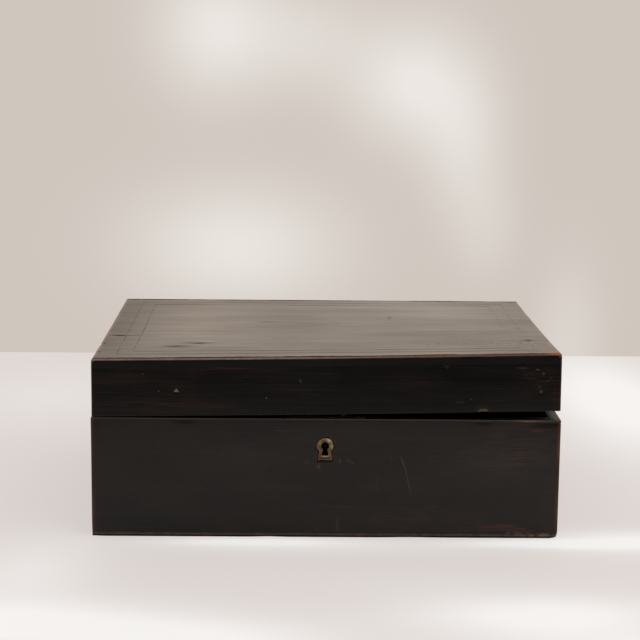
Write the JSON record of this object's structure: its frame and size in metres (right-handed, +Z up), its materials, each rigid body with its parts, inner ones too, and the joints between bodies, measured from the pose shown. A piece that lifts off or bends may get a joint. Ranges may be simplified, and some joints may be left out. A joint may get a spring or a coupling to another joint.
{
  "type": "stationery box",
  "caption": "Flat rectangular wooden box for papers with a hinged lid, a box lock behind a small brass keyhole escutcheon, and a divided, paper-lined inside.",
  "frame": {"origin": "middle of the base's underside, on the surface the box stands on", "axes": "+X to the right along the width, -Y to the front with the keyhole, +Z up"},
  "size_m": [0.332, 0.2573, 0.1348],
  "materials": {
    "ebonised_wood": "black-stained polished wood, worn brown at the arrises",
    "plain_wood": "unpolished brown softwood",
    "black_string": "black stringing, slightly sunk",
    "lining_paper": "faded blue-grey paper",
    "dull_brass": "dull, handled brass",
    "dark_steel": "darkened steel"
  },
  "bodies": {
    "base": {"front_board": "ebonised_wood", "back_board": "ebonised_wood", "left_end_board": "ebonised_wood", "right_end_board": "ebonised_wood", "bottom_board": "plain_wood", "floor_lining": "lining_paper", "long_divider": "plain_wood", "short_divider": "plain_wood", "escutcheon": "dull_brass", "lock_plate": "dull_brass", "lock_case": "dark_steel", "drill_pin": "dark_steel", "lock_screws": "dark_steel", "left_hinge_base_leaf": "dull_brass", "right_hinge_base_leaf": "dull_brass", "left_hinge_pin": "dark_steel", "right_hinge_pin": "dark_steel", "base_hinge_screws": "dark_steel"},
    "lid": {"lid_top_board": "ebonised_wood", "lid_front_rail": "ebonised_wood", "lid_back_rail": "ebonised_wood", "lid_left_rail": "ebonised_wood", "lid_right_rail": "ebonised_wood", "outer_stringing": "black_string", "inner_stringing": "black_string", "lid_lining": "lining_paper", "left_hinge_lid_leaf": "dull_brass", "right_hinge_lid_leaf": "dull_brass", "lid_hinge_screws": "dark_steel", "link_plate": "dull_brass", "link_plate_screws": "dark_steel"},
    "bolt": {"lock_bolt": "dark_steel", "bolt_spring": "dark_steel"}
  },
  "joints": [
    {"name": "lid_hinge", "type": "hinge", "parent": "base", "child": "lid", "pos_m": [0, 0.12697, 0.08755], "axis": [-1, 0, 0], "range_deg": [0, 100]},
    {"name": "bolt_slide", "type": "slide", "parent": "base", "child": "bolt", "axis": [1, 0, 0], "range_m": [0, 0.0045]}
  ]
}
